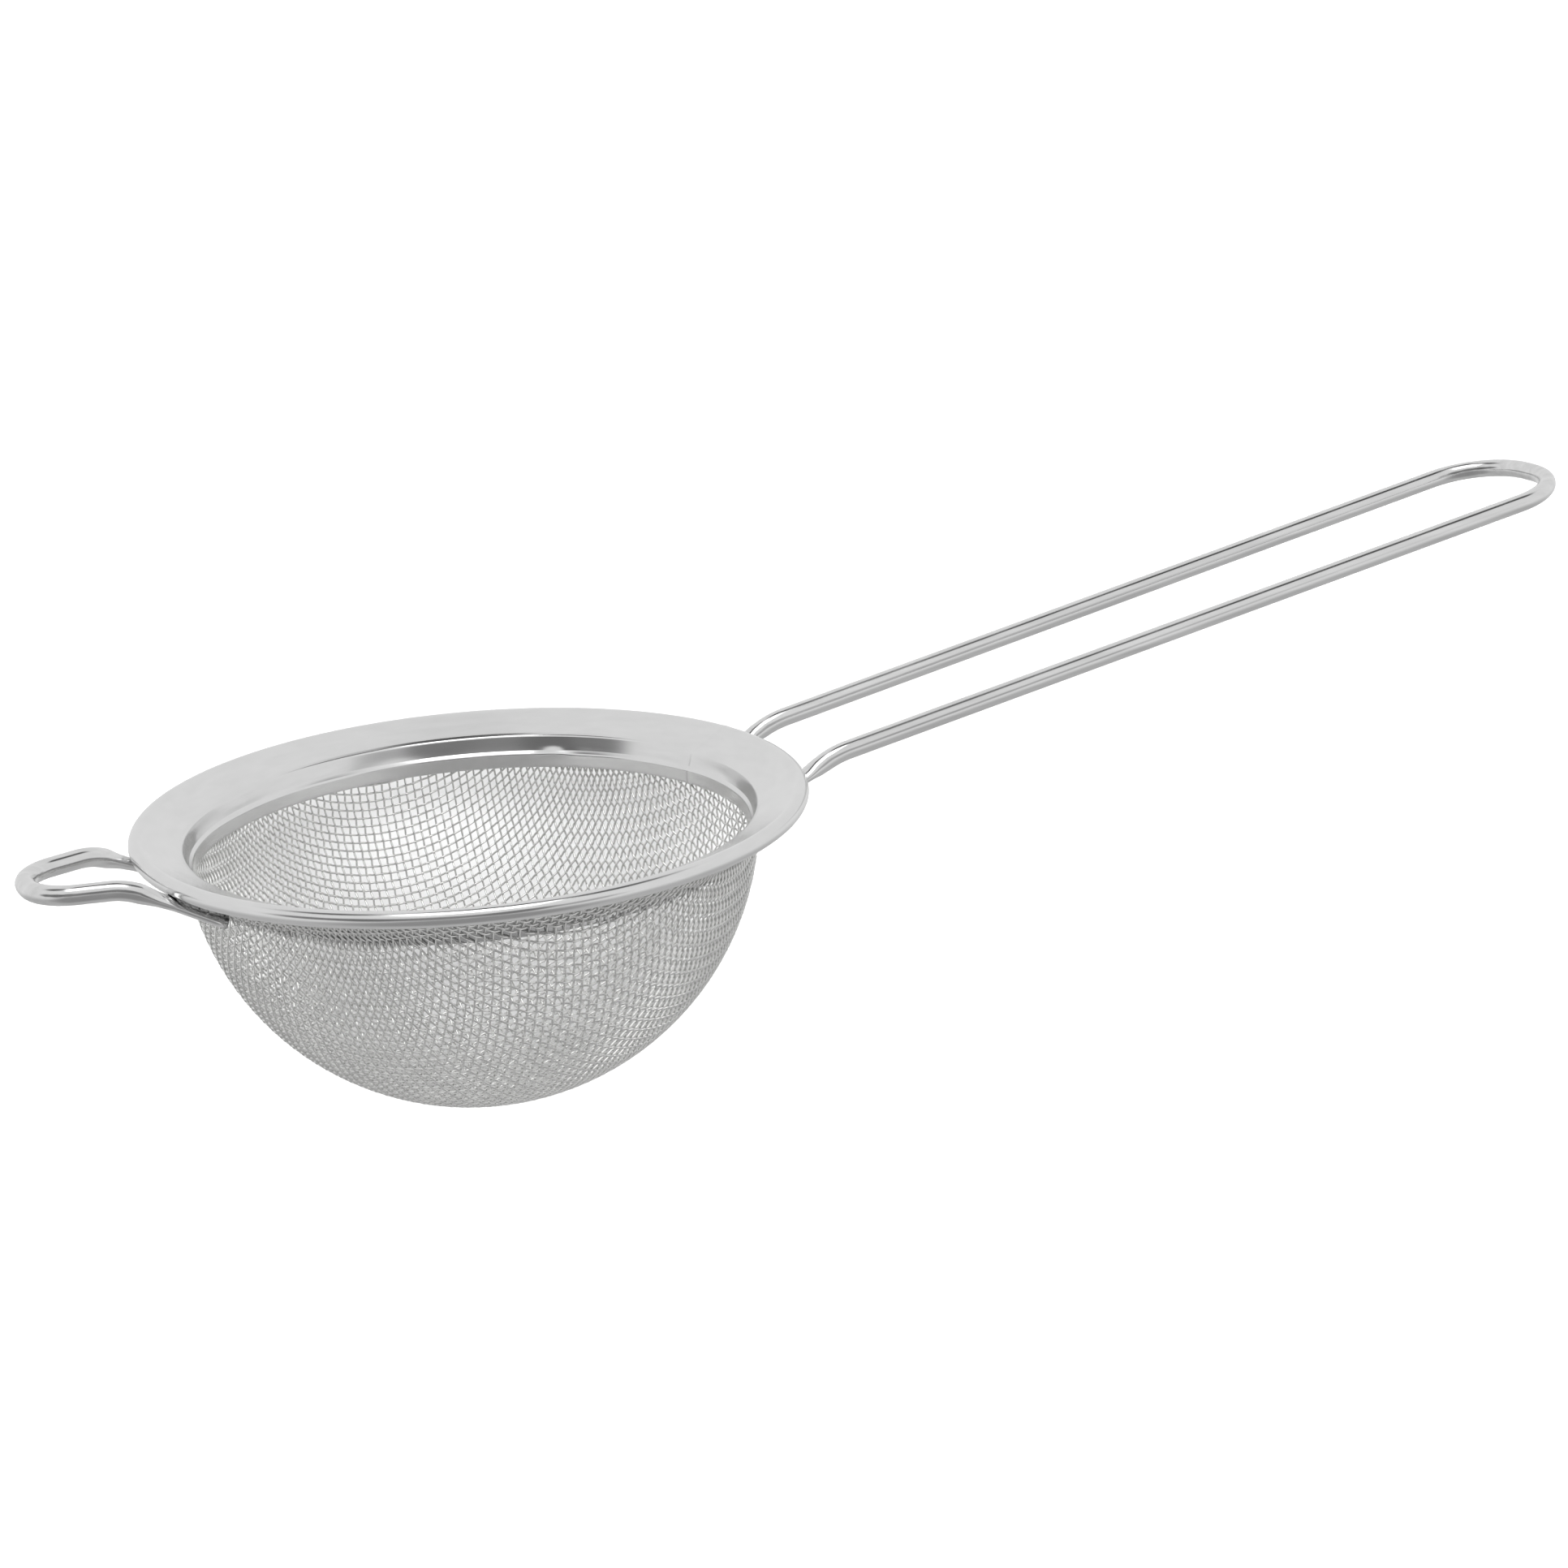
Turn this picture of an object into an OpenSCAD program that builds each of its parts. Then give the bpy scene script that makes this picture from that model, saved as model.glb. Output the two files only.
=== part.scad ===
// Tea strainer: a woven wire bowl held in a rolled sheet rim, with a long wire handle and a short rest loop.
// Units are millimetres. The origin is the centre of the mouth, on the plane through the rolled edge.
// +Z is up and the handle runs along +X.

/* [Rim] */
// Diameter over the rolled edge
rim_d = 80; // [79:0.5:82]
// Thickness of the sheet strip
sheet_t = 0.35; // [0.3:0.05:0.4]
// Diameter of the rolled edge
roll_d = 2.0; // [1.8:0.1:2.2]
// Upward slope of the flange, in degrees
flange_slope = 23; // [18:1:26]
// Inner diameter of the collar
collar_d = 65.7; // [65:0.1:65.7]
// Depth of the collar's lower edge below the mouth plane
collar_depth = 5; // [4.6:0.1:5.4]
// Depth of the top of the ledge above the collar
ledge_depth = 3.05; // [2.9:0.05:3.2]
// Slope of the ledge, in degrees
ledge_slope = 45; // [40:1:50]
// Lean of the wall above the ledge, in degrees
wall_lean = 18; // [14:1:20]
// Distance of the crest, where the wall meets the flange, from the axis
crest_x = 34.0; // [33.9:0.05:34.1]
// Width of the steeper brow round the crest
brow_w = 0.4; // [0.3:0.05:0.5]
// Upward slope of the brow, in degrees
brow_slope = 30; // [28:1:34]
// Bend radius of the ledge and the crest, at the middle of the sheet
bend_r = 0.3; // [0.2:0.05:0.3]

/* [Mesh bowl] */
// Outer radius of the bowl
bowl_r = 34; // [34:0.1:34.4]
// Depth of the bowl below the mouth plane
bowl_depth = 35.3; // [34.6:0.1:36]
// Thickness of the woven sheet, which is two mesh wires
mesh_t = 0.54; // [0.4:0.02:0.56]
// Depth at which the mesh turns out of the bowl towards the rolled edge
fold_depth = 4.2; // [4:0.1:4.6]

/* [Wires] */
// Diameter of the wire of the handle and of the rest loop
wire_d = 2.3; // [2:0.1:2.5]
// Thickness of the wire where it is pressed flat and welded under the rim
weld_t = 1.4; // [1.2:0.1:1.8]
// Width of the pressed ends
weld_w = 2.8; // [2.5:0.1:3.2]

/* [Handle] */
// Reach of the handle's tip from the centre of the mouth
handle_reach = 155; // [120:1:190]
// Distance between the legs where they leave the rim
handle_w = 17.7; // [14:0.2:19]
// Distance between the legs where the tip bend starts
handle_tip_w = 19.4; // [15:0.2:22]
// Upward slope of the long straight legs, in degrees
handle_slope = 9; // [4:0.2:12]
// Distance of the bend from the centre of the mouth, along X
handle_bend_x = 44; // [43:0.5:48]
// Height of the bend above the mouth plane
handle_bend_z = 0.8; // [0:0.1:1.2]

/* [Rest loop] */
// Reach of the rest loop's tip from the centre of the mouth
rest_reach = 54; // [52:0.5:60]
// Distance between the two welded ends
rest_end_w = 19; // [16:0.5:22]
// Distance between the legs at the bend
rest_w = 14.6; // [13:0.2:16]
// Distance between the legs where they run out at the tip
rest_tip_w = 9.4; // [8:0.2:11]
// Distance of the bend from the centre of the mouth, along X
rest_bend_x = 43.6; // [43:0.2:46]
// Height of the bend, and of the loop beyond it, above the mouth plane
rest_z = 0.8; // [0.4:0.1:1.4]

/* [Hidden] */
$fn = 96;

roll_r = roll_d / 2;
roll_x = rim_d / 2 - roll_r;
collar_r = collar_d / 2;
bowl_z = bowl_r - bowl_depth;
wire_r = wire_d / 2;
foot_inset = 0.1;

// Corners of the middle of the sheet in section, from the collar's lower edge to the roll.
sheet_r = collar_r + sheet_t / 2;
roll_mid = roll_r - sheet_t / 2;
brow = [
    crest_x + brow_w,
    roll_mid / cos(flange_slope) - (roll_x - crest_x - brow_w) * tan(flange_slope)
];
crest = brow - brow_w * [1, tan(brow_slope)];
ledge_x = crest_x - (crest.y + ledge_depth) * tan(wall_lean);
sheet_corners = [
    [sheet_r, -collar_depth],
    [sheet_r, -ledge_depth - (ledge_x - sheet_r) * tan(ledge_slope)],
    [ledge_x, -ledge_depth],
    crest,
    brow,
    [roll_x, 0] + roll_mid * [-sin(flange_slope), cos(flange_slope)]
];

// Radius of the bowl's outer or inner face at a depth below the mouth plane.
function face_r(r, depth) = sqrt(r * r - pow(depth + bowl_z, 2));
fold_out = face_r(bowl_r, fold_depth);
fold_in = face_r(bowl_r - mesh_t, fold_depth);
flare_rise = atan2(fold_depth, roll_x - (fold_out + fold_in) / 2);
flare_side = mesh_t / 2 * [-sin(flare_rise), cos(flare_rise)];

// The roll starts where the flange meets it and stops at a lip just short of the mesh that enters it.
roll_start = 90 + flange_slope;
roll_lip = flare_rise - 180 + 28;
roll_steps = ceil((roll_start - roll_lip) / 8);

// The pressed ends lie against the flared mesh and touch the underside of the rolled edge.
touch = 0.03;
weld_r = fold_out + 0.7;
weld_depth = (roll_x - weld_r) * tan(flare_rise) + (mesh_t / 2 + weld_t / 2 - touch) / cos(flare_rise);
pass_r = rim_d / 2 - 0.5;
pass_depth = roll_r + weld_t / 2 - touch;
// The wire is fully pressed inside the first radius and round outside the second.
pressed_r = rim_d / 2 + 0.3;
round_r = pressed_r + 2.6;
wire_sides = 24;

// X of a point at radius r whose Y is y.
function x_at(r, y) = sqrt(r * r - y * y);
function unit(v) = v / norm(v);
// Angle through which a path turns at its point i.
function turn(path, i) = acos(unit(path[i] - path[i - 1]) * unit(path[i + 1] - path[i]));
// The radius at point i for which two like corners, i and the next, nearly make one round end.
function end_radius(path, i) = 0.46 * norm(path[i + 1] - path[i]) / tan(turn(path, i) / 2);
// A half path followed by its own mirror image across the XZ plane.
function both_sides(half) =
    concat(half, [for (i = [len(half) - 1:-1:0]) [half[i].x, -half[i].y, half[i].z]]);

// The points of the arc of radius r that rounds point i, in steps of about 8 degrees.
function arc_points(path, r, i) =
    let (
        ahead = unit(path[i] - path[i - 1]),
        after = unit(path[i + 1] - path[i]),
        angle = turn(path, i),
        centre = path[i] + unit(after - ahead) * r / cos(angle / 2),
        out = unit(path[i] - ahead * r * tan(angle / 2) - centre),
        steps = ceil(angle / 8)
    )
    [for (k = [0:steps]) centre + r * (cos(angle * k / steps) * out + sin(angle * k / steps) * ahead)];

// The centre line of a wire that is bent through the points of a path.
function centre_line(path, r) = [
    path[0],
    for (i = [1:len(path) - 2]) each arc_points(path, r[i], i),
    path[len(path) - 1]
];

// The middle of the rolled edge in section, without its first point.
function roll_line() = [
    for (k = [1:roll_steps])
        let (angle = roll_start + (roll_lip - roll_start) * k / roll_steps)
        [roll_x, 0] + roll_mid * [cos(angle), sin(angle)]
];

// Half the sheet's thickness, square to a line in section at its point i.
function half_sheet(line, i) =
    let (ahead = unit(line[min(i + 1, len(line) - 1)] - line[max(i - 1, 0)]))
    sheet_t / 2 * [-ahead.y, ahead.x];

// How round the wire is at a point: 0 in the pressed end and 1 along the rest.
function roundness(p) = min(1, max(0, (norm([p.x, p.y]) - pressed_r) / (round_r - pressed_r)));

// The outline of the wire, square to the centre line at its point i.
function ring(line, i) =
    let (
        ahead = line[min(i + 1, len(line) - 1)] - line[max(i - 1, 0)],
        side = unit(cross([0, 0, 1], ahead)),
        up = unit(cross(ahead, side)),
        share = roundness(line[i]),
        half_w = share * wire_r + (1 - share) * weld_w / 2,
        half_t = share * wire_r + (1 - share) * weld_t / 2
    )
    [for (k = [0:wire_sides - 1])
        line[i] + half_w * cos(360 * k / wire_sides) * side + half_t * sin(360 * k / wire_sides) * up];

// A wire bent through the points of a path, with an arc of radius r[i] at point i.
module bent_wire(path, r) {
    line = centre_line(path, r);
    rings = len(line);
    n = wire_sides;
    polyhedron(
        points = [for (i = [0:rings - 1]) each ring(line, i)],
        faces = [
            [for (k = [0:n - 1]) k],
            for (i = [0:rings - 2], k = [0:n - 1])
                [i * n + k, (i + 1) * n + k, (i + 1) * n + (k + 1) % n, i * n + (k + 1) % n],
            [for (k = [n - 1:-1:0]) (rings - 1) * n + k]
        ]
    );
}

// The outline of the mesh between the bowl and the rolled edge. Its foot stands inside the bowl's wall.
module mesh_flare() {
    foot_out = fold_out - foot_inset;
    foot_in = fold_in + foot_inset;
    polygon([
        [foot_out, -fold_depth - foot_inset],
        [foot_out, -fold_depth],
        [roll_x, 0] - flare_side,
        [roll_x, 0] + flare_side,
        [foot_in, -fold_depth],
        [foot_in, -fold_depth - foot_inset]
    ]);
}

// One strip of sheet: collar, ledge, wall, flange and rolled edge.
module rim() {
    line = concat(centre_line(sheet_corners, [0, bend_r, bend_r, bend_r, bend_r, 0]), roll_line());
    last = len(line) - 1;
    color([0.80, 0.80, 0.80])
        rotate_extrude()
            polygon([
                for (i = [0:last]) line[i] + half_sheet(line, i),
                for (i = [last:-1:0]) line[i] - half_sheet(line, i)
            ]);
}

module mesh_bowl() {
    color([0.74, 0.74, 0.73])
        rotate_extrude() {
            difference() {
                translate([0, bowl_z])
                    circle(r = bowl_r);
                translate([0, bowl_z])
                    circle(r = bowl_r - mesh_t);
                translate([-bowl_r - 1, -fold_depth])
                    square(2 * bowl_r + 2);
                translate([-2 * bowl_r, -bowl_depth - 1])
                    square([2 * bowl_r, 2 * bowl_r]);
            }
            mesh_flare();
        }
}

module handle() {
    y = handle_w / 2;
    tip_x = handle_reach - wire_r;
    tip_z = handle_bend_z + (tip_x - handle_bend_x) * tan(handle_slope);
    path = both_sides([
        [x_at(weld_r, y), y, -weld_depth],
        [x_at(pass_r, y), y, -pass_depth],
        [handle_bend_x, y, handle_bend_z],
        [tip_x, handle_tip_w / 2, tip_z]
    ]);
    round_end = end_radius(path, 3);
    color([0.78, 0.78, 0.78])
        bent_wire(path, [0, 4, 12, round_end, round_end, 12, 4, 0]);
}

module rest_loop() {
    end_y = rest_end_w / 2;
    bend_y = rest_w / 2;
    pass_y = (end_y + bend_y) / 2;
    path = both_sides([
        [-x_at(weld_r, end_y), end_y, -weld_depth],
        [-x_at(pass_r, pass_y), pass_y, -pass_depth],
        [-rest_bend_x, bend_y, rest_z],
        [wire_r - rest_reach, rest_tip_w / 2, rest_z]
    ]);
    round_end = end_radius(path, 3);
    color([0.78, 0.78, 0.78])
        bent_wire(path, [0, 3, 8, round_end, round_end, 8, 3, 0]);
}

rim();
mesh_bowl();
handle();
rest_loop();
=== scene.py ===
"""Tea strainer: the looks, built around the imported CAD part.

The rim, the handle and the rest loop are finer meshes of the CAD shapes. The bowl is woven wire by wire.
Everything is in metres, in the part's own frame: the centre of the mouth is the origin, and the handle
runs along +X.
"""

import math

import bpy
import numpy as np
from mathutils import Matrix, Vector

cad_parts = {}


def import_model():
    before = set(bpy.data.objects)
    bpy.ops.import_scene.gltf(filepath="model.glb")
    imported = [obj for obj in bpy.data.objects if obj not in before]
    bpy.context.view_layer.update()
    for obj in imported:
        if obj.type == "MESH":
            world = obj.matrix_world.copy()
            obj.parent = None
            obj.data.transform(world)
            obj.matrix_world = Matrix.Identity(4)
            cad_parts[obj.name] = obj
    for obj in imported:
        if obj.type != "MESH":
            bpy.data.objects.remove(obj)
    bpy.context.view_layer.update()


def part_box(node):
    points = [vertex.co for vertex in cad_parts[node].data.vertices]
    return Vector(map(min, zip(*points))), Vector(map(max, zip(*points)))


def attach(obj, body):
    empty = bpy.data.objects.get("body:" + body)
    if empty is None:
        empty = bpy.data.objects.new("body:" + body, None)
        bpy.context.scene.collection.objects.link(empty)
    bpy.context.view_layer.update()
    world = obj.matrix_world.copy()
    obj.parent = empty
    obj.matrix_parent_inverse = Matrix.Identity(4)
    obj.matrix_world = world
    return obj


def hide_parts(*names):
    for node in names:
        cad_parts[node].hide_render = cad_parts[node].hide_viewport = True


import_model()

MM = 0.001

# Sheet strip of the rim: rolled edge, flange, brow, crest, leaning wall, ledge and collar
SHEET_T = 0.35 * MM
ROLL_R = 1.0 * MM
LIP_TURN = math.radians(26)
FLANGE_SLOPE = math.radians(23)
BROW_X = 34.4 * MM
BROW_SLOPE = math.radians(30)
CREST_X = 34.0 * MM
CREST_R = 0.3 * MM
WALL_LEAN = math.radians(18)
LEDGE_TOP = -3.05 * MM
LEDGE_LEAN = math.radians(45)
LEDGE_R = 0.3 * MM
COLLAR_R = 32.85 * MM
EDGE_BULGE = 0.6
SHEET_STEP = 0.4 * MM

# Its butt weld, the dent in its ledge, and its slow unevenness: each wave's height, count and start
SEAM_ANGLE = math.radians(15)
SEAM_HALF_WIDTH = 0.4 * MM
SEAM_HEIGHT = 0.05 * MM
SEAM_REACH = math.radians(1.2)
DENT_ANGLE = math.radians(51)
DENT_WIDTH = math.radians(3)
DENT_DEPTH = 0.2 * MM
LEDGE_BAND = 0.4 * MM
LEDGE_WAVES = [(0.05 * MM, 5, 1.3), (0.03 * MM, 13, 0.4)]
RIM_WAVES = [(0.03 * MM, 3, 0.6), (0.02 * MM, 7, 2.1)]

# Woven mesh, and how far its profile, its net and its wires run past the rolled edge's centre
MESH_WIRE_R = 0.135 * MM
PITCH = 1.04 * MM
BOWL_R = 34.0 * MM
FOLD_DEPTH = 4.2 * MM
FOLD_R = 1.2 * MM
FLARE_PAST_ROLL = 4 * MM
NET_PAST_ROLL = 2.5 * MM
CLOTH_PAST_ROLL = 0.2 * MM
RINGS_PER_PITCH = 3
MESH_WIRE_SIDES = 6

# Wire of the handle and of the rest loop, with its pressed and welded ends
WIRE_R = 1.15 * MM
WELD_T = 1.4 * MM
WELD_W = 2.8 * MM
WELD_OVERLAP = 0.03 * MM
WELD_INSET = 0.7 * MM
PRESS_END = 0.3 * MM
PRESS_LENGTH = 2.6 * MM
HANDLE_W = 17.7 * MM
HANDLE_TIP_W = 19.4 * MM
HANDLE_SLOPE = math.radians(9)
HANDLE_BEND = (44 * MM, 0.8 * MM)
HANDLE_RADII = (4 * MM, 12 * MM)
REST_END_W = 19 * MM
REST_W = 14.6 * MM
REST_TIP_W = 9.4 * MM
REST_BEND = (43.6 * MM, 0.8 * MM)
REST_RADII = (3 * MM, 8 * MM)
END_SHARE = 0.46
WIRE_SIDES = 40

# Camera: where it looks from, how far it rolls, and how far beside the origin it aims
CAMERA_DISTANCE = 0.400
CAMERA_AZIMUTH = math.radians(-24.70)
CAMERA_ELEVATION = math.radians(17.15)
CAMERA_ROLL = math.radians(-3.556)
AIM_RIGHT = 36.98 * MM
AIM_UP = 2.884 * MM
LENS = 77.8

# Floor, and the light on it
FLOOR_HALF = 6.0
FLOOR_GREY = (0.74,) * 3
KEY_AZIMUTH, KEY_ELEVATION = -109, 18
KEY_STRENGTH = 11
KEY_SPREAD = math.radians(10)

rim_low, rim_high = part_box("rim")
bowl_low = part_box("mesh_bowl")[0]
handle_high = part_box("handle")[1]
rest_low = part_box("rest_loop")[0]

RIM_R = rim_high.x
ROLL_X = RIM_R - ROLL_R


def unit(v):
    """The vector, or each row of vectors, at length 1."""
    return v / np.linalg.norm(v, axis=-1, keepdims=True)


# ---------------------------------------------------------------- meshes


def mesh_object(name, vertices, faces, smooth=True):
    """A new mesh object from arrays of vertices and of quads or triangles."""
    mesh = bpy.data.meshes.new(name)
    mesh.from_pydata([tuple(v) for v in vertices], [], [tuple(f) for f in faces])
    mesh.polygons.foreach_set("use_smooth", [smooth] * len(mesh.polygons))
    mesh.update()
    made = bpy.data.objects.new(name, mesh)
    bpy.context.scene.collection.objects.link(made)
    return made


def finish_piece(piece, material, cad_node):
    """Gives a piece its material and body, and hides the CAD node that it stands for."""
    piece.data.materials.append(material)
    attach(piece, "root")
    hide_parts(cad_node)


def tube_mesh(rings):
    """Vertices and faces of a closed tube through rings of vertices, shaped (rings, sides, 3)."""
    count, sides, _ = rings.shape
    k = np.arange(sides)
    start = np.arange(count - 1)[:, None] * sides
    quads = np.stack(
        [start + k, start + (k + 1) % sides, start + sides + (k + 1) % sides, start + sides + k], axis=-1
    ).reshape(-1, 4)
    faces = quads.tolist() + [k[::-1].tolist(), (k + (count - 1) * sides).tolist()]
    return rings.reshape(-1, 3), faces


# ---------------------------------------------------------------- woven bowl


def bowl_profile():
    """Arc length, radius, height, and both parts of the tangent along the middle of the woven sheet.

    It runs from the bowl's lowest point up the sphere, round the fold and out past the rolled edge.
    """
    r_mid = BOWL_R - 2 * MESH_WIRE_R
    centre_z = bowl_low.z + BOWL_R
    fold = np.array([math.sqrt(r_mid**2 - (FOLD_DEPTH + centre_z) ** 2), -FOLD_DEPTH])
    along = unit(np.array([ROLL_X, 0.0]) - fold)
    below = np.array([along[1], -along[0]])
    start = fold + below * FOLD_R - np.array([0, centre_z])
    half_b = float(start @ along)
    reach = -half_b + math.sqrt(half_b**2 - float(start @ start) + (r_mid + FOLD_R) ** 2)
    bend_centre = start + along * reach + np.array([0, centre_z])
    to_bend = unit(bend_centre - np.array([0, centre_z]))
    last = math.pi / 2 + math.atan2(to_bend[1], to_bend[0])
    angle = np.linspace(0, last, 900)
    sphere = np.stack([r_mid * np.sin(angle), centre_z - r_mid * np.cos(angle)], 1)
    first = math.atan2(-to_bend[1], -to_bend[0]) % (2 * math.pi)
    final = math.atan2(-below[1], -below[0]) % (2 * math.pi)
    turn = np.linspace(first, final, 40)[1:]
    bend = bend_centre + FOLD_R * np.stack([np.cos(turn), np.sin(turn)], 1)
    flare_end = np.array([ROLL_X, 0.0]) + along * FLARE_PAST_ROLL
    share = np.linspace(0, 1, 60)[1:, None]
    flare = bend[-1] + share * (flare_end - bend[-1])
    points = np.concatenate([sphere, bend, flare])
    length = np.concatenate([[0], np.cumsum(np.linalg.norm(np.diff(points, axis=0), axis=1))])
    tangent = unit(np.gradient(points, length, axis=0))
    return length, points[:, 0], points[:, 1], tangent[:, 0], tangent[:, 1]


PROFILE = bowl_profile()
ROLL_S = float(np.interp(ROLL_X, PROFILE[1], PROFILE[0]))


def on_sheet(s, theta):
    """The point at arc length s from the bowl's lowest point, at angle theta, with its two tangents."""
    r, z, dr, dz = (float(np.interp(s, PROFILE[0], p)) for p in PROFILE[1:])
    c, n = math.cos(theta), math.sin(theta)
    return np.array([r * c, r * n, z]), np.array([dr * c, dr * n, dz]), np.array([-r * n, r * c, 0.0])


def next_crossing(a, b, c):
    """The crossing one pitch from crossings a and b, across the cell from c. Each is (s, theta)."""
    pa, pb, pc = (on_sheet(*q)[0] for q in (a, b, c))
    guess = pa + pb - pc
    s, theta = a[0] + b[0] - c[0], math.atan2(guess[1], guess[0])
    for _ in range(12):
        p, along, around = on_sheet(s, theta)
        miss = np.array([(p - pa) @ (p - pa), (p - pb) @ (p - pb)]) - PITCH**2
        slope = 2 * np.array([[(p - q) @ along, (p - q) @ around] for q in (pa, pb)])
        step = np.linalg.solve(slope, miss)
        s, theta = s - step[0], theta - step[1]
        if abs(step[0]) < 1e-9:
            break
    return s, theta


def weave_quarter():
    """The crossings of one quarter of the cloth, as a net of equal cells from the lowest point."""
    limit = ROLL_S + NET_PAST_ROLL
    reach = int(limit / PITCH)
    net = {(i, 0): (i * PITCH, 0.0) for i in range(reach + 1)}
    net.update({(0, j): (j * PITCH, math.pi / 2) for j in range(1, reach + 1)})
    for i in range(1, reach + 1):
        for j in range(1, reach + 1):
            corners = [net.get(q) for q in ((i - 1, j), (i, j - 1), (i - 1, j - 1))]
            if None in corners:
                break
            s, theta = next_crossing(*corners)
            if not (0 < s < limit):
                break
            net[i, j] = (s, theta)
    return net


def sheet_frame(s, theta):
    """Places and outward normals on the sheet, for arrays of s and theta."""
    r, z, dr, dz = (np.interp(s, PROFILE[0], p) for p in PROFILE[1:])
    place = np.stack([r * np.cos(theta), r * np.sin(theta), z], 1)
    normal = np.stack([dz * np.cos(theta), dz * np.sin(theta), -dr], 1)
    return place, normal


def cloth_wire(crossings, first_sign):
    """One crimped wire of the cloth as rings of vertices, from the place and normal at each crossing."""
    place, normal = crossings
    count = len(place)
    t = np.arange((count - 1) * RINGS_PER_PITCH + 1) / RINGS_PER_PITCH
    at = np.arange(count)
    base = np.stack([np.interp(t, at, place[:, k]) for k in range(3)], 1)
    out = unit(np.stack([np.interp(t, at, normal[:, k]) for k in range(3)], 1))
    centre = base + out * (first_sign * MESH_WIRE_R * np.cos(math.pi * t))[:, None]
    ahead = unit(np.gradient(centre, axis=0))
    side = unit(np.cross(ahead, out))
    up = np.cross(side, ahead)
    angle = 2 * math.pi * np.arange(MESH_WIRE_SIDES) / MESH_WIRE_SIDES
    outward = np.cos(angle)[:, None] * up[:, None, :]
    sideways = np.sin(angle)[:, None] * side[:, None, :]
    return centre[:, None, :] + MESH_WIRE_R * (outward + sideways)


def cloth_wires(net, family):
    """Every wire of one family, from -Y to +Y or from -X to +X, each as rings of vertices."""
    reach = max(i for i, _ in net)
    wires = []
    for i in range(-reach, reach + 1):
        row = []
        for j in range(-reach, reach + 1):
            key = (abs(i), abs(j)) if family == "warp" else (abs(j), abs(i))
            if key not in net or net[key][0] > ROLL_S + CLOTH_PAST_ROLL:
                continue
            s, theta = net[key]
            x_sign, y_sign = (i, j) if family == "warp" else (j, i)
            if x_sign < 0:
                theta = math.pi - theta
            row.append((s, theta if y_sign >= 0 else -theta, j))
        if len(row) < 3:
            continue
        runs = np.array(row)
        gaps = np.flatnonzero(np.diff(runs[:, 2]) > 1) + 1
        for part in np.split(runs, gaps):
            if len(part) < 3:
                continue
            sign = 1 if (i + int(part[0, 2])) % 2 == 0 else -1
            if family == "weft":
                sign = -sign
            wires.append((i, cloth_wire(sheet_frame(part[:, 0], part[:, 1]), sign)))
    return wires


def join_tubes(name, tubes):
    """One mesh object of many separate closed tubes."""
    vertices, faces, start = [], [], 0
    for rings in tubes:
        v, f = tube_mesh(rings)
        vertices.append(v)
        faces.extend([[k + start for k in face] for face in f])
        start += len(v)
    return mesh_object(name, np.concatenate(vertices), faces)


def weave_bowl(material):
    """The whole cloth, as four pieces: each family of wires in two halves."""
    net = weave_quarter()
    for family in ("warp", "weft"):
        wires = cloth_wires(net, family)
        halves = {"a": [w for i, w in wires if i < 0], "b": [w for i, w in wires if i >= 0]}
        for half, tubes in halves.items():
            piece = join_tubes(f"mesh_{family}_{half}", tubes)
            finish_piece(piece, material, "mesh_bowl")


# ---------------------------------------------------------------- rim


def arc(centre, radius, start, end, steps):
    """Points of an arc in section, from one angle to another."""
    angle = np.linspace(start, end, steps)
    return np.array(centre) + radius * np.stack([np.cos(angle), np.sin(angle)], 1)


def densify(line, gap):
    """The same line with points no further apart than the gap."""
    points = [line[0]]
    for a, b in zip(line[:-1], line[1:]):
        steps = max(1, math.ceil(np.linalg.norm(b - a) / gap))
        points.extend(a + (b - a) * k / steps for k in range(1, steps + 1))
    return np.array(points)


def rounded(corners, radii, step):
    """A path through corners, with an arc of the given radius at each inner corner."""
    line = [corners[0]]
    for i in range(1, len(corners) - 1):
        ahead = unit(corners[i] - corners[i - 1])
        after = unit(corners[i + 1] - corners[i])
        turn = math.acos(float(ahead @ after))
        centre = corners[i] + unit(after - ahead) * radii[i] / math.cos(turn / 2)
        out = unit(corners[i] - ahead * radii[i] * math.tan(turn / 2) - centre)
        for angle in np.linspace(0, turn, max(2, math.ceil(turn / step)) + 1):
            line.append(centre + radii[i] * (math.cos(angle) * out + math.sin(angle) * ahead))
    line.append(corners[-1])
    return np.array(line)


def rim_centre_line():
    """The middle of the sheet strip in section, from the collar's lower edge to the lip."""
    half = SHEET_T / 2
    facing = math.pi / 2 + FLANGE_SLOPE
    brow_z = (ROLL_R - half) / math.cos(FLANGE_SLOPE) - (ROLL_X - BROW_X) * math.tan(FLANGE_SLOPE)
    crest_z = brow_z - (BROW_X - CREST_X) * math.tan(BROW_SLOPE)
    ledge_x = CREST_X - (crest_z - LEDGE_TOP) * math.tan(WALL_LEAN)
    ledge_foot = LEDGE_TOP - (ledge_x - COLLAR_R - half) / math.tan(LEDGE_LEAN)
    fold_x = math.sqrt((BOWL_R - SHEET_T) ** 2 - (FOLD_DEPTH + bowl_low.z + BOWL_R) ** 2)
    lip = math.atan2(FOLD_DEPTH, ROLL_X - fold_x) - math.pi + LIP_TURN
    curl = arc((ROLL_X, 0.0), ROLL_R - half, facing, lip, steps=40)
    corners = np.array([
        [COLLAR_R + half, rim_low.z],
        [COLLAR_R + half, ledge_foot],
        [ledge_x, LEDGE_TOP],
        [CREST_X, crest_z],
        [BROW_X, brow_z],
        curl[0],
    ])
    sheet = rounded(corners, [0, LEDGE_R, LEDGE_R, CREST_R, CREST_R, 0], step=math.radians(5))
    return np.concatenate([densify(sheet, SHEET_STEP)[:-1], curl])


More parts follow.
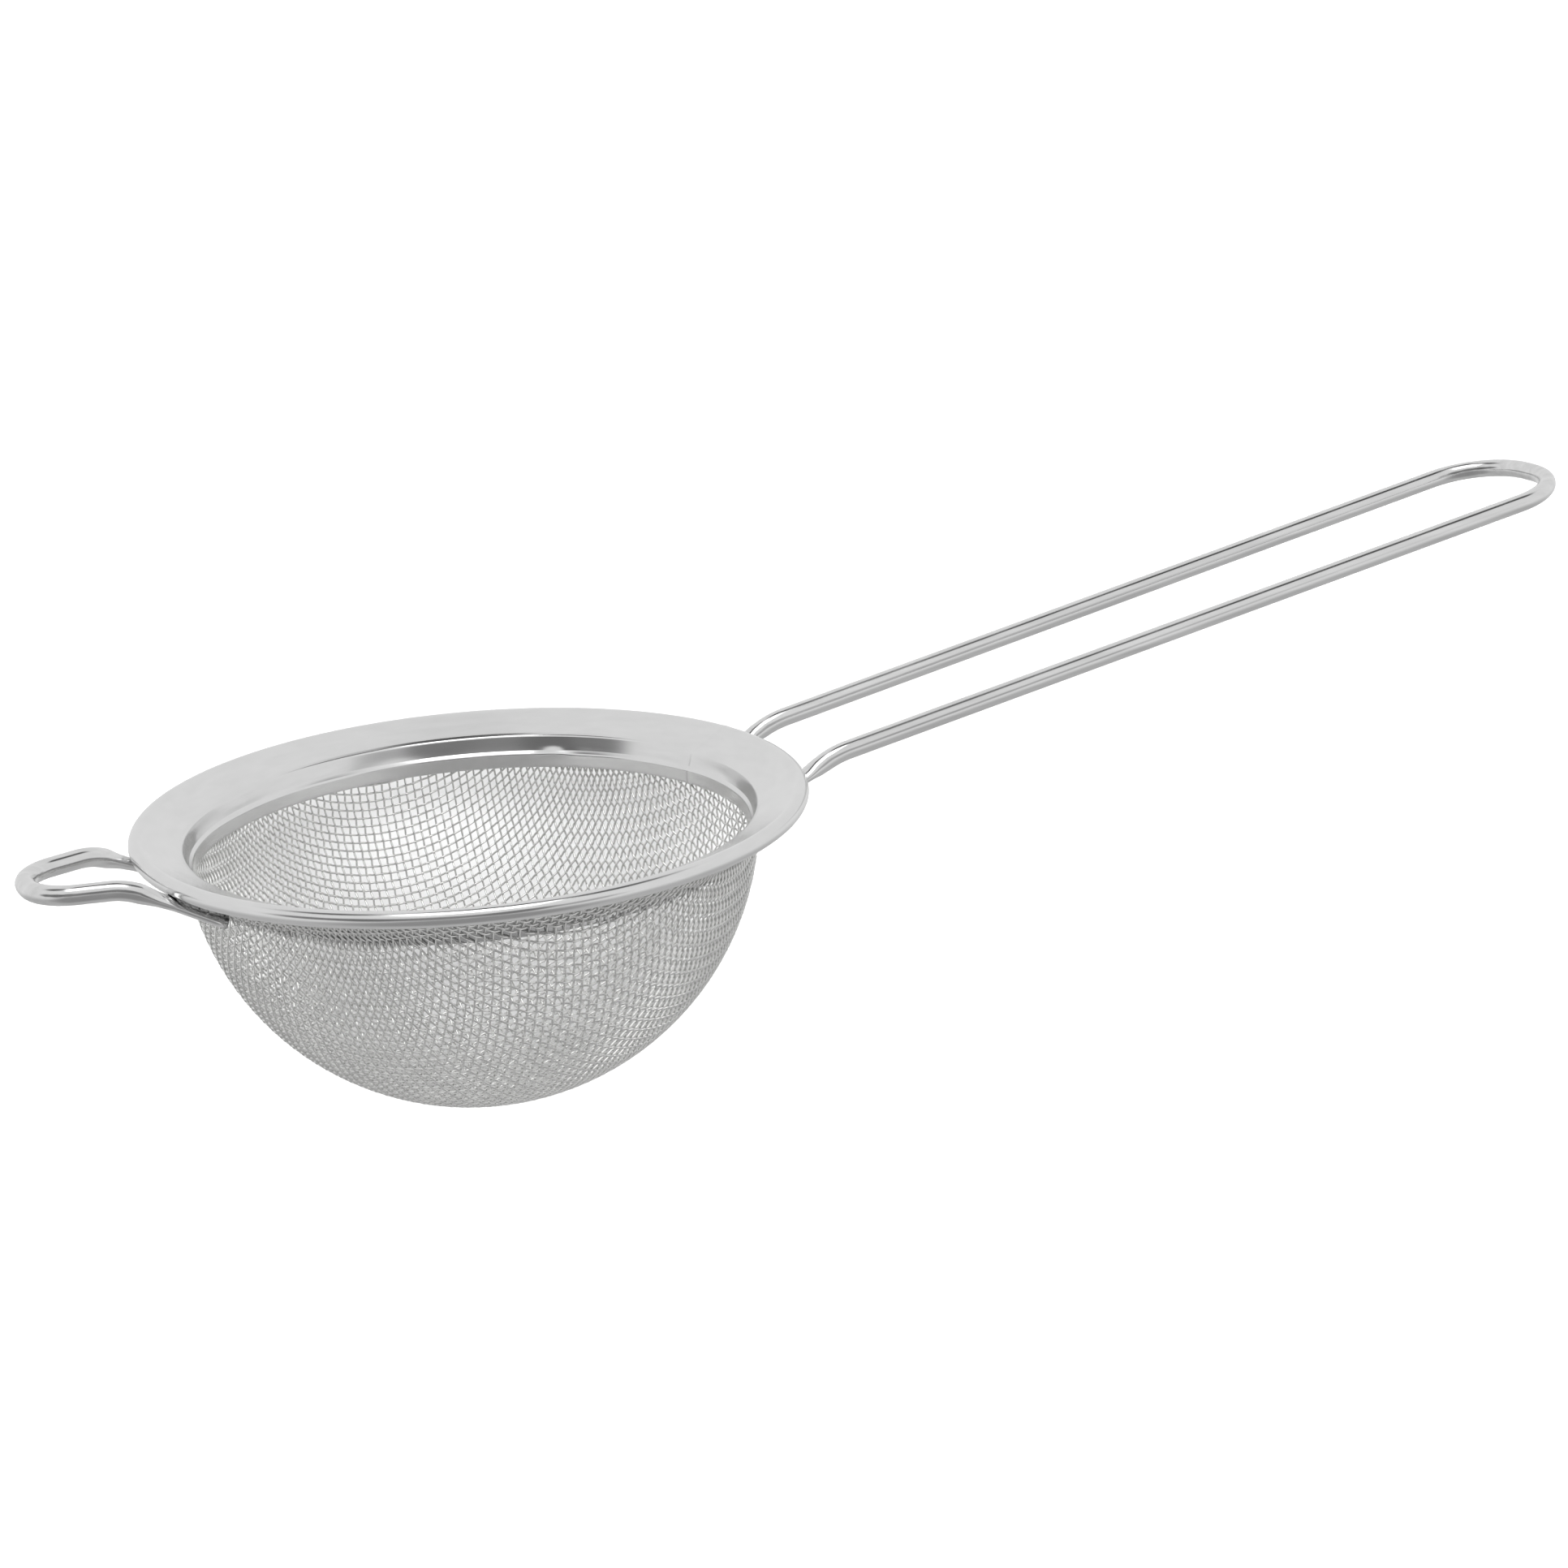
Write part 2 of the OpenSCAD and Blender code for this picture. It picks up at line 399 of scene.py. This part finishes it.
def strip_outline(line):
    """The closed outline of the sheet around its centre line, with rounded edges."""
    ahead = unit(np.gradient(line, axis=0))
    left = np.stack([-ahead[:, 1], ahead[:, 0]], 1)
    half = SHEET_T / 2
    angle = np.radians([60, 20, -20, -60])[:, None]
    end = line[-1] + half * (EDGE_BULGE * np.cos(angle) * ahead[-1] + np.sin(angle) * left[-1])
    start = line[0] - half * (EDGE_BULGE * np.cos(angle) * ahead[0] + np.sin(angle) * left[0])
    return np.concatenate([line + half * left, end, (line - half * left)[::-1], start])


def waves(terms, theta):
    """The sum of waves round the rim, at an angle."""
    return sum(height * math.sin(count * theta + start) for height, count, start in terms)


def seam_lift(theta):
    """How far the butt weld stands out of the sheet at an angle round the rim."""
    across = (theta - SEAM_ANGLE) * RIM_R / SEAM_HALF_WIDTH
    return SEAM_HEIGHT * np.exp(-across * across)


def ledge_shift(theta, z):
    """How far the top of the ledge bulges inwards at an angle round the rim, for an array of heights."""
    dent = DENT_DEPTH * math.exp(-(((theta - DENT_ANGLE) / DENT_WIDTH) ** 2))
    return (dent + waves(LEDGE_WAVES, theta)) * np.exp(-(((z - LEDGE_TOP) / LEDGE_BAND) ** 2))


def rim_strip(material):
    """The strip turned once round, with its butt weld and the slight unevenness of a rolled rim."""
    outline = strip_outline(rim_centre_line())
    coarse = np.linspace(0, 2 * math.pi, 361)[:-1]
    fine = SEAM_ANGLE + np.linspace(-SEAM_REACH, SEAM_REACH, 17)
    away = np.abs(coarse - SEAM_ANGLE) > SEAM_REACH + math.radians(0.1)
    theta = np.unique(np.concatenate([coarse[away], fine]))
    ahead = unit(np.roll(outline, -1, 0) - np.roll(outline, 1, 0))
    out = np.stack([ahead[:, 1], -ahead[:, 0]], 1)
    if np.sum(out[: len(out) // 2, 0]) > 0:
        out = -out
    rings = []
    for angle in theta:
        section = outline + out * seam_lift(angle)
        inner = section[:, 0] < ROLL_X - 2 * ROLL_R
        r = section[:, 0] + inner * (waves(RIM_WAVES, angle) - ledge_shift(angle, section[:, 1]))
        rings.append(np.stack([r * math.cos(angle), r * math.sin(angle), section[:, 1]], 1))
    count, sides = len(rings), len(outline)
    k = np.arange(sides)
    faces = []
    for i in range(count):
        a, b = i * sides, (i + 1) % count * sides
        faces.extend(np.stack([a + k, b + k, b + (k + 1) % sides, a + (k + 1) % sides], 1).tolist())
    finish_piece(mesh_object("rim_strip", np.concatenate(rings), faces), material, "rim")


# ---------------------------------------------------------------- bent wires


def both_sides(half):
    """Half of a path followed by its mirror image across the XZ plane."""
    half = np.array(half)
    return np.concatenate([half, half[::-1] * [1, -1, 1]])


def end_radius(corners, i):
    """The radius at corner i for which it and the next nearly make one round end."""
    side = corners[i + 1] - corners[i]
    turn = math.acos(float(unit(corners[i] - corners[i - 1]) @ unit(side)))
    return END_SHARE * np.linalg.norm(side) / math.tan(turn / 2)


def round_share(line):
    """How round the wire is along its line: 0 in the pressed ends, and 1 beyond a smooth change."""
    from_axis = np.linalg.norm(line[:, :2], axis=1)
    t = np.clip((from_axis - RIM_R - PRESS_END) / PRESS_LENGTH, 0, 1)
    return t * t * (3 - 2 * t)


def wire_piece(name, corners, radii, material, cad_node):
    """A bent wire with pressed ends, standing for a CAD node."""
    line = densify(rounded(corners, radii, step=math.radians(2)), gap=2 * MM)
    ahead = unit(np.gradient(line, axis=0))
    side = unit(np.cross([0.0, 0.0, 1.0], ahead))
    up = np.cross(ahead, side)
    share = round_share(line)[:, None]
    half_w = share * WIRE_R + (1 - share) * WELD_W / 2
    half_t = share * WIRE_R + (1 - share) * WELD_T / 2
    angle = 2 * math.pi * np.arange(WIRE_SIDES) / WIRE_SIDES
    rings = (
        line[:, None, :]
        + (half_w * np.cos(angle))[:, :, None] * side[:, None, :]
        + (half_t * np.sin(angle))[:, :, None] * up[:, None, :]
    )
    vertices, faces = tube_mesh(rings)
    finish_piece(mesh_object(name, vertices, faces), material, cad_node)


def weld_point(y):
    """Distance along X and depth of a welded end whose Y is y, under the mesh flare."""
    fold_x = math.sqrt(BOWL_R**2 - (FOLD_DEPTH + bowl_low.z + BOWL_R) ** 2)
    rise = math.atan2(FOLD_DEPTH, ROLL_X - fold_x + MESH_WIRE_R * 2)
    weld_r = fold_x + WELD_INSET
    below_cloth = 2 * MESH_WIRE_R + WELD_T / 2 - WELD_OVERLAP
    depth = (ROLL_X - weld_r) * math.tan(rise) + below_cloth / math.cos(rise)
    return math.sqrt(weld_r**2 - y * y), depth


def pass_point(y):
    """Distance along X and depth of a wire whose Y is y, where it passes under the rolled edge."""
    return math.sqrt((RIM_R - ROLL_R / 2) ** 2 - y * y), ROLL_R + WELD_T / 2 - WELD_OVERLAP


def handle_wire(material):
    """The long handle."""
    y = HANDLE_W / 2
    tip_x = handle_high.x - WIRE_R
    tip_z = HANDLE_BEND[1] + (tip_x - HANDLE_BEND[0]) * math.tan(HANDLE_SLOPE)
    weld_x, weld_depth = weld_point(y)
    pass_x, pass_depth = pass_point(y)
    corners = both_sides([
        [weld_x, y, -weld_depth],
        [pass_x, y, -pass_depth],
        [HANDLE_BEND[0], y, HANDLE_BEND[1]],
        [tip_x, HANDLE_TIP_W / 2, tip_z],
    ])
    end = end_radius(corners, 3)
    near, far = HANDLE_RADII
    wire_piece("handle_wire", corners, [0, near, far, end, end, far, near, 0], material, "handle")


def rest_wire(material):
    """The short rest loop on the other side."""
    end_y, bend_y = REST_END_W / 2, REST_W / 2
    pass_y = (end_y + bend_y) / 2
    weld_x, weld_depth = weld_point(end_y)
    pass_x, pass_depth = pass_point(pass_y)
    corners = both_sides([
        [-weld_x, end_y, -weld_depth],
        [-pass_x, pass_y, -pass_depth],
        [-REST_BEND[0], bend_y, REST_BEND[1]],
        [rest_low.x + WIRE_R, REST_TIP_W / 2, REST_BEND[1]],
    ])
    end = end_radius(corners, 3)
    near, far = REST_RADII
    wire_piece("rest_loop_wire", corners, [0, near, far, end, end, far, near, 0], material, "rest_loop")


# ---------------------------------------------------------------- materials


def new_material(name):
    """A new material, with its node tree and its shader."""
    material = bpy.data.materials.new(name)
    material.use_nodes = True
    tree = material.node_tree
    return material, tree, tree.nodes["Principled BSDF"]


def steel(name):
    """A metal material, with its node tree and its shader."""
    material, tree, shader = new_material(name)
    shader.inputs["Metallic"].default_value = 1.0
    return material, tree, shader


def node(tree, kind, **values):
    """A new shader node, with inputs or settings by name."""
    made = tree.nodes.new(kind)
    for key, value in values.items():
        if key in made.inputs:
            made.inputs[key].default_value = value
        else:
            setattr(made, key, value)
    return made


def stretched_noise(tree, stretch, scale):
    """A noise over the object's own coordinates, which run along each axis at its own rate."""
    coords = node(tree, "ShaderNodeTexCoord")
    mapping = node(tree, "ShaderNodeMapping")
    mapping.inputs["Scale"].default_value = stretch
    noise = node(tree, "ShaderNodeTexNoise", Scale=scale, Detail=4)
    tree.links.new(coords.outputs["Object"], mapping.inputs["Vector"])
    tree.links.new(mapping.outputs["Vector"], noise.inputs["Vector"])
    return noise.outputs["Fac"]


def ramp(tree, factor, low, high):
    """A ramp between two colours over the middle of a noise's range."""
    made = node(tree, "ShaderNodeValToRGB")
    made.color_ramp.elements[0].position = 0.3
    made.color_ramp.elements[1].position = 0.7
    made.color_ramp.elements[0].color = (*low, 1)
    made.color_ramp.elements[1].color = (*high, 1)
    tree.links.new(factor, made.inputs["Fac"])
    return made.outputs["Color"]


def add_bump(tree, shader, height, strength, distance):
    """Joins a height to the shader's normal."""
    bump = node(tree, "ShaderNodeBump", Strength=strength, Distance=distance)
    tree.links.new(height, bump.inputs["Height"])
    tree.links.new(bump.outputs["Normal"], shader.inputs["Normal"])


def rim_steel():
    """Satin sheet."""
    material, tree, shader = steel("rim_satin_steel")
    fine = stretched_noise(tree, stretch=(1, 1, 6), scale=260)
    tree.links.new(ramp(tree, fine, (0.785,) * 3, (0.82,) * 3), shader.inputs["Base Color"])
    broad = stretched_noise(tree, stretch=(1, 1, 1), scale=60)
    tree.links.new(ramp(tree, broad, (0.14,) * 3, (0.22,) * 3), shader.inputs["Roughness"])
    add_bump(tree, shader, fine, strength=0.05, distance=0.03 * MM)
    return material


def mesh_steel():
    """Bright drawn wire of the cloth."""
    material, tree, shader = steel("mesh_drawn_steel")
    fine = stretched_noise(tree, stretch=(1, 1, 1), scale=420)
    tree.links.new(ramp(tree, fine, (0.78, 0.78, 0.77), (0.90, 0.90, 0.89)), shader.inputs["Base Color"])
    tree.links.new(ramp(tree, fine, (0.08,) * 3, (0.16,) * 3), shader.inputs["Roughness"])
    return material


def wire_steel():
    """Polished wire with faint draw lines."""
    material, tree, shader = steel("wire_polished_steel")
    lines = stretched_noise(tree, stretch=(0.03, 1, 1), scale=900)
    tree.links.new(ramp(tree, lines, (0.72,) * 3, (0.84,) * 3), shader.inputs["Base Color"])
    tree.links.new(ramp(tree, lines, (0.1,) * 3, (0.2,) * 3), shader.inputs["Roughness"])
    add_bump(tree, shader, lines, strength=0.05, distance=0.02 * MM)
    return material


# ---------------------------------------------------------------- stage


def floor():
    """A plain pale floor that the bowl touches. The steel reflects the room instead of it."""
    half, z = FLOOR_HALF, bowl_low.z
    corners = [(-half, -half, z), (half, -half, z), (half, half, z), (-half, half, z)]
    plane = mesh_object("floor", np.array(corners), [(0, 1, 2, 3)], smooth=False)
    material, _, shader = new_material("floor_white")
    shader.inputs["Base Color"].default_value = (*FLOOR_GREY, 1)
    shader.inputs["Roughness"].default_value = 0.9
    shader.inputs["Specular IOR Level"].default_value = 0.0
    plane.data.materials.append(material)
    plane.visible_glossy = False


def compass(azimuth, elevation):
    """The unit vector at an azimuth from +X and an elevation, in degrees."""
    az, el = math.radians(azimuth), math.radians(elevation)
    return (math.cos(az) * math.cos(el), math.sin(az) * math.cos(el), math.sin(el))


# The room that the steel reflects: direction, degrees from it within which a patch is full and beyond
# which it is gone, and its brightness. Each patch lies over the ones before it.
ROOM_BASE = 0.80
ROOM = [
    (compass(0, -90), 50, 85, 0.50),
    (compass(-115, -35), 20, 50, 0.30),
    (compass(-124, 19), 10, 20, 0.24),
    (compass(-148, 16), 10, 20, 0.16),
    (compass(-167, 14), 7, 16, 0.20),
    (compass(-98, 17), 10, 20, 0.20),
    (compass(-74, 13), 6, 15, 0.42),
    (compass(65, 76), 6, 12, 0.05),
    (compass(0, 67), 6, 16, 0.07),
    (compass(150, 67), 7, 15, 0.10),
]


def world():
    """A soft pale room with darker patches. The camera sees plain white in its place."""
    made = bpy.data.worlds.new("studio")
    bpy.context.scene.world = made
    made.use_nodes = True
    tree = made.node_tree
    coords = node(tree, "ShaderNodeTexCoord")
    grey = None
    for direction, full, gone, brightness in ROOM:
        toward = node(tree, "ShaderNodeVectorMath", operation="DOT_PRODUCT")
        toward.inputs[1].default_value = direction
        tree.links.new(coords.outputs["Generated"], toward.inputs[0])
        share = node(tree, "ShaderNodeMapRange", interpolation_type="SMOOTHSTEP")
        share.inputs["From Min"].default_value = math.cos(math.radians(gone))
        share.inputs["From Max"].default_value = math.cos(math.radians(full))
        tree.links.new(toward.outputs["Value"], share.inputs["Value"])
        mix = node(tree, "ShaderNodeMix", data_type="FLOAT")
        mix.inputs["A"].default_value = ROOM_BASE
        mix.inputs["B"].default_value = brightness
        tree.links.new(share.outputs["Result"], mix.inputs["Factor"])
        if grey is not None:
            tree.links.new(grey, mix.inputs["A"])
        grey = mix.outputs["Result"]
    seen = node(tree, "ShaderNodeLightPath")
    backdrop = node(tree, "ShaderNodeMix", data_type="FLOAT")
    backdrop.inputs["B"].default_value = 1.0
    tree.links.new(seen.outputs["Is Camera Ray"], backdrop.inputs["Factor"])
    tree.links.new(grey, backdrop.inputs["A"])
    background = tree.nodes["Background"]
    tree.links.new(backdrop.outputs["Result"], background.inputs["Color"])
    background.inputs["Strength"].default_value = 1.0


def softbox(name, azimuth, elevation, distance, size, brightness):
    """A rectangular area light that faces the origin. A mirror would show it at this brightness."""
    light = bpy.data.lights.new(name, "AREA")
    light.shape = "RECTANGLE"
    light.size, light.size_y = size
    light.energy = brightness * math.pi * size[0] * size[1]
    made = bpy.data.objects.new(name, light)
    place = Vector(compass(azimuth, elevation)) * distance
    made.location = place
    made.rotation_euler = (-place).to_track_quat("-Z", "Y").to_euler()
    bpy.context.scene.collection.objects.link(made)


def key_light():
    """A broad light from about the camera's height. It lights the floor, and no steel mirrors it."""
    light = bpy.data.lights.new("key", "SUN")
    light.energy = KEY_STRENGTH
    light.angle = KEY_SPREAD
    made = bpy.data.objects.new("key", light)
    toward = Vector(compass(KEY_AZIMUTH, KEY_ELEVATION))
    made.rotation_euler = (-toward).to_track_quat("-Z", "Y").to_euler()
    made.visible_glossy = False
    bpy.context.scene.collection.objects.link(made)


def camera():
    """The camera, looking a little beside the origin."""
    az, el, roll = CAMERA_AZIMUTH, CAMERA_ELEVATION, CAMERA_ROLL
    back = Vector((math.sin(az) * math.cos(el), -math.cos(az) * math.cos(el), math.sin(el)))
    level = Vector((math.cos(az), math.sin(az), 0))
    upright = back.cross(level)
    right = math.cos(roll) * level + math.sin(roll) * upright
    up = -math.sin(roll) * level + math.cos(roll) * upright
    data = bpy.data.cameras.new("camera")
    data.lens = LENS
    data.clip_start = 0.01
    data.clip_end = 50
    made = bpy.data.objects.new("camera", data)
    turn = Matrix((right, up, back)).transposed().to_4x4()
    place = right * AIM_RIGHT + up * AIM_UP + back * CAMERA_DISTANCE
    made.matrix_world = Matrix.Translation(place) @ turn
    bpy.context.scene.collection.objects.link(made)
    bpy.context.scene.camera = made


def lights():
    """The key light and the softbox overhead."""
    key_light()
    softbox("top", azimuth=-115, elevation=77, distance=0.9, size=(0.5, 0.46), brightness=1.7)


camera()
lights()
world()
floor()
bpy.context.scene.view_settings.view_transform = "Standard"

rim_strip(rim_steel())
wires = wire_steel()
handle_wire(wires)
rest_wire(wires)
weave_bowl(mesh_steel())
